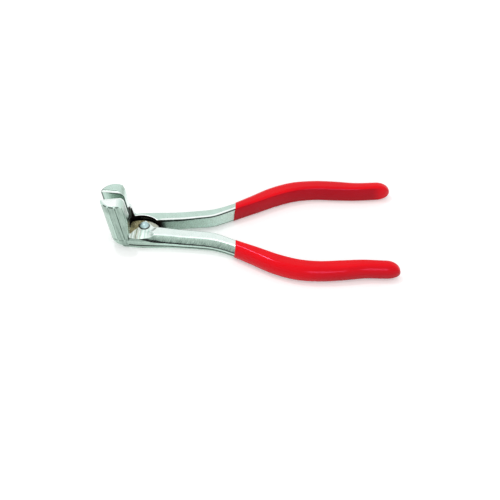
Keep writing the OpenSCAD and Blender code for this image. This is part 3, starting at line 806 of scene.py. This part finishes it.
def grip(near):
    """A dipped grip: one closed skin with its bore, its leaning edge, its lip and its nose."""
    s_first, s_nose, s_tip = row_at(GRIP_START), row_at(GRIP_END - GRIP_NOSE), row_at(GRIP_END)
    lean = np.tan(np.radians(GRIP_START_LEAN))

    def skin(s, size=1.0, inset=0.0):
        c = along(s)[0]
        return placed(grip_section(c[4], GRIP_T, inset) * size, s)

    def bore(s):
        c = along(s)[0]
        fit = np.array([(c[2] / 2 + BORE_GAP) / (c[4] / 2), (ARM_T / 2 + BORE_GAP) / (GRIP_T / 2)])
        return placed(grip_section(c[4], GRIP_T) * fit, s)

    def at_start(inset, x):
        """The skin's points slid along the course to the leaning plane of the dip's edge, and
        the row numbers where they come to lie."""
        points, rows = [], []
        for i in range(len(skin(s_first))):
            lo, hi = s_first - EDGE_ROWS, s_first + EDGE_ROWS
            for _ in range(HALVINGS):
                mid = (lo + hi) / 2
                point = skin(mid, inset=inset)[i]
                if point[0] < x + (point[2] - MID_Z) * lean:
                    lo = mid
                else:
                    hi = mid
            rows.append((lo + hi) / 2)
            points.append(skin(rows[-1], inset=inset)[i])
        return np.array(points), np.array(rows)

    # The bore follows the steel, from its blind end to the mouth.
    rings = [bore(s) for s in np.linspace(STEEL_LAST, s_first + 0.35, BORE_RINGS)]
    mouth = np.array([bore(s)[i] for i, s in enumerate(at_start(0.0, GRIP_START)[1])])
    mouth[:, 0] = GRIP_START + (mouth[:, 2] - MID_Z) * lean
    rings.append(mouth)
    for a in np.radians(np.linspace(0, 90, LIP_RINGS)):
        rings.append(at_start(LIP_R * (1 - np.sin(a)), GRIP_START + LIP_R * (1 - np.cos(a)))[0])
    # Its rings lean as the edge does at first, and stand square to the course at the nose.
    start_rows = at_start(0.0, GRIP_START + LIP_R)[1]
    for t in np.linspace(0, 1, GRIP_RINGS)[1:]:
        mixed = start_rows * (1 - t) + s_nose * t
        rings.append(np.array([skin(s)[i] for i, s in enumerate(mixed)]))
    for a in np.radians(np.linspace(0, NOSE_TURN, NOSE_RINGS)[1:]):
        s = s_nose + (s_tip - s_nose) * np.sin(a) / np.sin(np.radians(NOSE_TURN))
        rings.append(skin(s, np.cos(a)) - [0, 0, NOSE_DROOP * (1 - np.cos(a))])
    obj = lofted(rings)
    soften = obj.modifiers.new("soften", "SUBSURF")
    soften.levels = soften.render_levels = 1
    settle(obj)

    p, n = coords(obj), normals(obj)
    # Dipping leaves the vinyl a little uneven, always inwards of the CAD skin.
    uneven = 0.05 * (wobble(p, 14.0, 11 + near) - 1) + 0.012 * (wobble(p, 4.0, 13 + near) - 1)
    off_floor = step(0.02, 0.5, p[:, 2])
    n_out = (n * np.column_stack([bar_frame(p)[4], np.zeros(len(p))])).sum(1)
    # The inner sides are painted darker red up to the nose, as shade.
    inside = step(0.3, 0.65, -n_out) * step(-4.0, 3.0, GRIP_END - GRIP_NOSE - p[:, 0])
    inside = inside * (1 - step(0.35, 0.75, n[:, 2]))
    if near:
        # The front of this grip is painted darker towards its nose and its underside, as shade.
        front = step(0.2, 0.7, n_out) * step(68, 118, p[:, 0]) * (1 - 0.5 * step(3.5, 8.5, p[:, 2]))
        inside = np.maximum(inside, 0.9 * front)
    # A purple-red painted reflection of the floor along the lower outer edge
    pooled = (1 - step(0.6, 2.8, p[:, 2] + 0.5 * wobble(p, 9.0, 15))) * step(0.1, 0.5, n_out)
    store(obj, inside=inside, pooled=pooled)
    put_back(obj, p + n * (uneven * off_floor)[:, None], near)
    return obj


# Rivet
def rivet():
    """The rivet, turned about its axis: countersunk tail, shank, and a slightly flattened dome."""
    head = LUG_TOP + RIVET_GAP
    dome = (RIVET_HEAD_R**2 + RIVET_HEAD_H**2) / (2 * RIVET_HEAD_H)
    sweep = np.degrees(np.arcsin(RIVET_HEAD_R / dome))
    tail = [[RIVET_TAIL_R - 0.12, 0], [RIVET_TAIL_R, 0.1], [RIVET_R, RIVET_TAIL_R - RIVET_R]]
    neck = [[RIVET_R, head], [RIVET_HEAD_R - 0.1, head], [RIVET_HEAD_R, head + 0.06]]
    cap = arc(0, head + RIVET_HEAD_H - dome, dome, 90 - sweep + 1.5, 90, 24)[:-1]
    path = np.concatenate([tail, neck, cap, [[0.02, head + RIVET_HEAD_H]]])
    a = np.radians(np.linspace(0, 360, RIVET_POINTS + 1)[:-1])
    rings = [np.column_stack([r * np.cos(a), r * np.sin(a), np.full(RIVET_POINTS, z)])
             for r, z in path]
    obj = moved(lofted(rings), Matrix.Scale(MM, 4))
    shade_smooth(obj)
    return obj


# Node helpers
class Tree:
    """Builds the nodes of a material or a world in few words."""

    def __init__(self, owner):
        self.owner = owner
        owner.use_nodes = True
        self.nodes = owner.node_tree.nodes
        self.links = owner.node_tree.links
        self.nodes.clear()

    def add(self, kind, inputs=None, **settings):
        made = self.nodes.new("ShaderNode" + kind)
        for key, value in settings.items():
            setattr(made, key, value)
        for key, value in (inputs or {}).items():
            if isinstance(value, bpy.types.NodeSocket):
                self.links.new(value, made.inputs[key])
            else:
                made.inputs[key].default_value = value
        return made

    def attribute(self, name, vector=False):
        made = self.add("Attribute", attribute_name=name)
        return made.outputs["Vector" if vector else "Fac"]

    def math(self, how, a, b=0.0, c=0.0, clamp=False):
        return self.add("Math", {0: a, 1: b, 2: c}, operation=how, use_clamp=clamp).outputs[0]

    def span(self, value, lo, hi, to_lo=0.0, to_hi=1.0):
        keys = {"Value": value, "From Min": lo, "From Max": hi, "To Min": to_lo, "To Max": to_hi}
        return self.add("MapRange", keys).outputs[0]

    def mix(self, share, a, b):
        return self.add("Mix", {0: share, 6: a, 7: b}, data_type="RGBA").outputs[2]

    def noise(self, vector, scale, detail, roughness):
        keys = {"Vector": vector, "Scale": scale, "Detail": detail, "Roughness": roughness}
        return self.add("TexNoise", keys).outputs["Fac"]

    def ramp(self, value, stops):
        made = self.add("ValToRGB", {"Fac": value})
        ramp = made.color_ramp
        while len(ramp.elements) < len(stops):
            ramp.elements.new(0.5)
        for element, (at, colour) in zip(ramp.elements, stops):
            element.position = at
            element.color = colour
        return made.outputs["Color"]

    def finish(self, shader, output="OutputMaterial"):
        self.add(output, {"Surface": shader})
        return self.owner


def rgb(r, g, b):
    """A colour given as it is seen, 0 to 255."""
    c = np.array([r, g, b], float) / 255
    linear = np.where(c <= 0.04045, c / 12.92, ((c + 0.055) / 1.055) ** 2.4)
    return (*linear.tolist(), 1.0)


# Materials
def steel_material():
    t = Tree(bpy.data.materials.new("forged_steel"))
    place = t.add("TexCoord").outputs["Object"]
    tone = t.attribute("tone")
    ground, black, patina = t.attribute("ground"), t.attribute("black"), t.attribute("patina")
    jaw_part, convex, hollow = t.attribute("jaw"), t.attribute("convex"), t.attribute("hollow")
    rough = t.attribute("rough")
    streak_arm = t.noise(t.attribute("grain_arm", True), 3.2, 4.0, 0.6)
    streak_jaw = t.noise(t.attribute("grain_jaw", True), 1.7, 4.0, 0.6)
    streak = t.add("Mix", {0: jaw_part, 2: streak_arm, 3: streak_jaw}).outputs[0]
    cloud = t.noise(place, 260.0, 3.0, 0.5)
    speck = t.noise(place, 1500.0, 2.0, 0.6)
    # Streaks show most on the ground flanks, a little on the jaws, hardly on the polished tops.
    depth = t.math("MULTIPLY_ADD", ground, 0.26, 0.07)
    depth = t.math("MULTIPLY_ADD", jaw_part, 0.08, depth)
    shade = t.math("MULTIPLY", t.math("SUBTRACT", streak, 0.5), depth)
    shade = t.math("ADD", tone, t.math("MULTIPLY", shade, 2.2))
    shade = t.math("MULTIPLY_ADD", t.math("SUBTRACT", cloud, 0.5), 0.10, shade)
    shade = t.math("MULTIPLY_ADD", t.math("MULTIPLY", t.math("SUBTRACT", speck, 0.5), rough), 0.5, shade)
    # Ridges get a painted highlight, and hollows painted shade.
    shade = t.math("MULTIPLY_ADD", convex, 0.10, shade)
    shade = t.math("MULTIPLY_ADD", hollow, -0.12, shade, True)
    steel = t.ramp(shade, [
        (0.0, rgb(20, 21, 21)), (0.12, rgb(62, 72, 68)), (0.30, rgb(122, 142, 132)),
        (0.50, rgb(182, 204, 192)), (0.64, rgb(204, 229, 219)), (1.0, rgb(250, 254, 253))])
    wiped = t.noise(t.attribute("grain_lug", True), 1.9, 4.0, 0.6)
    # Olive, for the lug's painted golden-brown shade, the painted golden highlights on the recess wall
    # and the brown streaks
    olive = t.ramp(t.math("MULTIPLY_ADD", speck, 0.2, wiped), [
        (0.38, rgb(76, 74, 48)), (0.54, rgb(118, 113, 80)), (0.68, rgb(148, 143, 108)),
        (0.82, rgb(196, 192, 160))])
    # Near black, for the painted shade in and round the joint
    coal = t.ramp(speck, [(0.3, rgb(14, 11, 10)), (0.7, rgb(38, 30, 26))])
    colour = t.mix(patina, steel, olive)
    colour = t.mix(black, colour, coal)
    dull = t.math("MAXIMUM", black, t.math("MAXIMUM", t.math("MULTIPLY", patina, 0.7), rough))
    gloss = t.span(cloud, 0.3, 0.7, 0.24, 0.34)
    gloss = t.math("MULTIPLY_ADD", ground, 0.12, gloss)
    gloss = t.math("MULTIPLY_ADD", dull, 0.25, gloss)
    gloss = t.math("MULTIPLY_ADD", t.attribute("brushed"), 0.3, gloss)
    height = t.math("MULTIPLY", streak, t.math("MULTIPLY_ADD", ground, 0.7, 0.3))
    height = t.math("MULTIPLY_ADD", t.math("MULTIPLY", speck, rough), 0.8, height)
    bump = t.add("Bump", {"Height": height, "Strength": 0.35, "Distance": 0.00004}).outputs[0]
    keys = {"Base Color": colour, "Metallic": 0.88, "Roughness": gloss, "Normal": bump}
    return t.finish(t.add("BsdfPrincipled", keys).outputs[0])


def rivet_material():
    t = Tree(bpy.data.materials.new("rivet_steel"))
    place = t.add("TexCoord").outputs["Object"]
    parts = t.add("SeparateXYZ", {"Vector": place})
    reach = t.math("SQRT", t.math("ADD", t.math("MULTIPLY", parts.outputs[0], parts.outputs[0]),
                                  t.math("MULTIPLY", parts.outputs[1], parts.outputs[1])))
    cloud = t.noise(place, 900.0, 3.0, 0.5)
    # The head's outer rim is painted dark brown, as shade round the foot of the dome.
    rim = t.span(t.math("MULTIPLY_ADD", cloud, 0.0003, reach), 0.0026, 0.0031)
    bright = t.ramp(cloud, [(0.3, rgb(174, 204, 206)), (0.7, rgb(200, 224, 226))])
    colour = t.mix(rim, bright, t.ramp(cloud, [(0.3, rgb(84, 78, 66)), (0.7, rgb(120, 112, 96))]))
    gloss = t.span(cloud, 0.3, 0.7, 0.42, 0.55)
    bump = t.add("Bump", {"Height": cloud, "Strength": 0.25, "Distance": 0.00004}).outputs[0]
    keys = {"Base Color": colour, "Metallic": 0.88, "Roughness": gloss, "Normal": bump}
    return t.finish(t.add("BsdfPrincipled", keys).outputs[0])


def vinyl_material():
    t = Tree(bpy.data.materials.new("red_vinyl"))
    place = t.add("TexCoord").outputs["Object"]
    cloud = t.noise(place, 45.0, 2.0, 0.5)
    grain = t.noise(place, 900.0, 3.0, 0.55)
    dust = t.noise(place, 3200.0, 2.0, 0.6)
    colour = t.ramp(cloud, [(0.3, rgb(236, 6, 3)), (0.7, rgb(253, 9, 5))])
    # A darker red, painted as shade
    colour = t.mix(t.math("MULTIPLY", t.attribute("inside"), 0.75), colour, rgb(180, 6, 5))
    # A purple-red, painted as the floor's reflection
    colour = t.mix(t.math("MULTIPLY", t.attribute("pooled"), 0.8), colour, rgb(192, 34, 70))
    gloss = t.math("MULTIPLY_ADD", grain, 0.04, t.span(cloud, 0.3, 0.7, 0.08, 0.11))
    height = t.math("MULTIPLY_ADD", dust, 0.15, grain)
    bump = t.add("Bump", {"Height": height, "Strength": 0.12, "Distance": 0.00006}).outputs[0]
    keys = {"Base Color": colour, "Roughness": gloss, "Normal": bump, "Specular IOR Level": 0.33,
            "Specular Tint": (1.0, 0.3, 0.65, 1.0)}
    return t.finish(t.add("BsdfPrincipled", keys).outputs[0])


# Pieces
def dress(obj, name, body, node, material):
    obj.name = obj.data.name = name
    obj.data.materials.clear()
    obj.data.materials.append(material)
    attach(obj, body)
    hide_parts(node)


STEEL, RIVET, VINYL = steel_material(), rivet_material(), vinyl_material()
dress(forged(far_forging(), False), "far_forging", "far_side", "far_arm", STEEL)
dress(forged(near_forging(), True), "near_forging", "near_side", "near_arm", STEEL)
dress(rivet(), "rivet", "far_side", "pivot_rivet", RIVET)
dress(grip(False), "far_vinyl", "far_side", "far_grip", VINYL)
dress(grip(True), "near_vinyl", "near_side", "near_grip", VINYL)


# Floor, light and camera
WHITE = (1, 1, 1, 1)
FLOOR_SIZE, FLOOR_DROP, FLOOR_LIT, FLOOR_GLOW = 4.0, 0.00005, 0.4, 0.25
WORLD_LIGHT = 0.74


def seen(t):
    """1 for rays from the camera, a glossy face or glass, and 0 for the rays that carry light."""
    path = t.add("LightPath").outputs
    return t.math("MAXIMUM", path["Is Camera Ray"],
                  t.math("MAXIMUM", path["Is Glossy Ray"], path["Is Transmission Ray"]))


def floor():
    mesh = bpy.data.meshes.new("floor")
    size = FLOOR_SIZE
    corners = [(-size, -size, 0), (size, -size, 0), (size, size, 0), (-size, size, 0)]
    mesh.from_pydata(corners, [], [(0, 1, 2, 3)])
    obj = bpy.data.objects.new("floor", mesh)
    scene.collection.objects.link(obj)
    obj.location.z = -FLOOR_DROP
    t = Tree(bpy.data.materials.new("floor"))
    lit = t.add("BsdfDiffuse", {"Color": (FLOOR_LIT, FLOOR_LIT, FLOOR_LIT, 1)}).outputs[0]
    white = t.add("BsdfDiffuse", {"Color": WHITE}).outputs[0]
    glow = t.add("Emission", {"Color": WHITE, "Strength": FLOOR_GLOW}).outputs[0]
    both = t.add("AddShader", {0: white, 1: glow}).outputs[0]
    mesh.materials.append(t.finish(t.add("MixShader", {0: seen(t), 1: lit, 2: both}).outputs[0]))


def world():
    scene.world = bpy.data.worlds.new("studio")
    t = Tree(scene.world)
    light = t.add("Background", {"Color": WHITE, "Strength": WORLD_LIGHT}).outputs[0]
    white = t.add("Background", {"Color": WHITE, "Strength": 1.0}).outputs[0]
    t.finish(t.add("MixShader", {0: seen(t), 1: light, 2: white}).outputs[0], "OutputWorld")


def lamp(name, at, target, size, watts):
    data = bpy.data.lights.new(name, "AREA")
    data.shape = "DISK"
    data.size = size
    data.energy = watts
    obj = bpy.data.objects.new(name, data)
    scene.collection.objects.link(obj)
    obj.location = at
    obj.rotation_mode = "QUATERNION"
    obj.rotation_quaternion = (Vector(target) - Vector(at)).to_track_quat("-Z", "Y")


def camera():
    """The photograph's view: 43 degrees above the horizon, hardly turned, 680 mm away."""
    elevation, azimuth, distance = np.radians(43.0), np.radians(-0.5), 0.68
    target = Vector((0.0598, -0.0113, 0.0))
    back = Vector((np.sin(azimuth) * np.cos(elevation), -np.cos(azimuth) * np.cos(elevation),
                   np.sin(elevation)))
    data = bpy.data.cameras.new("camera")
    data.sensor_width = 36.0
    data.lens = 86.4
    data.clip_start, data.clip_end = 0.01, 20.0
    obj = bpy.data.objects.new("camera", data)
    scene.collection.objects.link(obj)
    obj.location = target + back * distance
    obj.rotation_mode = "QUATERNION"
    obj.rotation_quaternion = (-back).to_track_quat("-Z", "Y")
    scene.camera = obj


floor()
world()
lamp("key", at=(-0.19, 0.17, 0.84), target=(0.05, 0, 0), size=0.06, watts=1.0)
lamp("front_fill", at=(0.12, -0.32, 0.12), target=(0.08, 0, 0.005), size=0.16, watts=0.2)
camera()
scene.view_settings.view_transform = "Standard"
